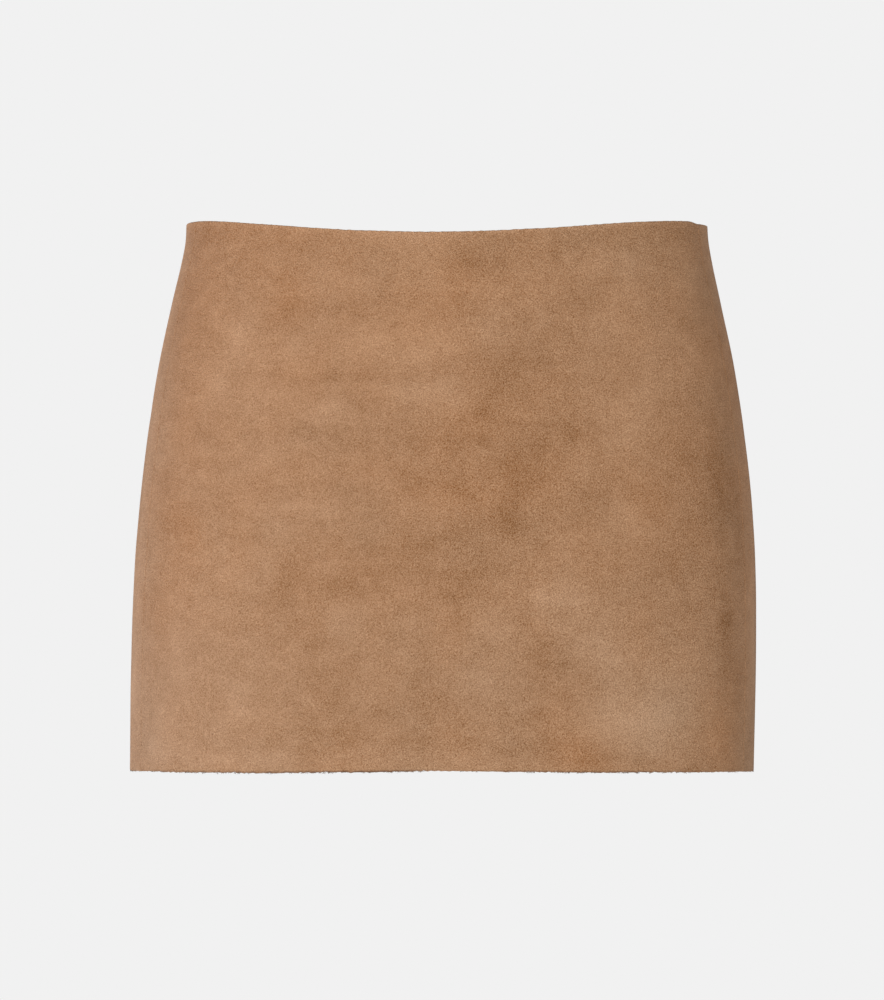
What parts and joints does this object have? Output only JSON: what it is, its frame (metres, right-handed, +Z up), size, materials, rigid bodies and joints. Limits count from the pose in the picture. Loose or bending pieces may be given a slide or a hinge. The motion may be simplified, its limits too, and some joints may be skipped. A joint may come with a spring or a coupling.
{
  "type": "suede mini skirt",
  "caption": "Plain suede mini skirt in its worn form, open at waist and hem, with raw edges and a hidden zip at the centre back.",
  "frame": {"origin": "middle of the waist opening, level with the tops of its sides, where the wearer's hips hold the skirt up", "axes": "+Z up, the front faces -Y and the wearer's left side is +X"},
  "size_m": [0.361, 0.2351, 0.3154],
  "materials": {
    "suede": "short brushed nap, matt, tan",
    "zip_tape": "woven tape, tan",
    "zip_enamel": "satin enamel, tan"
  },
  "bodies": {
    "skirt": {"front_panel": "suede", "back_panel_left": "suede", "back_panel_right": "suede", "zip_tape_left": "zip_tape", "zip_tape_right": "zip_tape", "zip_slider": "zip_enamel"},
    "zip_pull": {"zip_pull_tab": "zip_enamel"}
  },
  "joints": [
    {"name": "pull_tab_hinge", "type": "hinge", "parent": "skirt", "child": "zip_pull", "pos_m": [0, 0.09923, -0.01515], "axis": [1, 0, 0], "range_deg": [0, 150]}
  ]
}
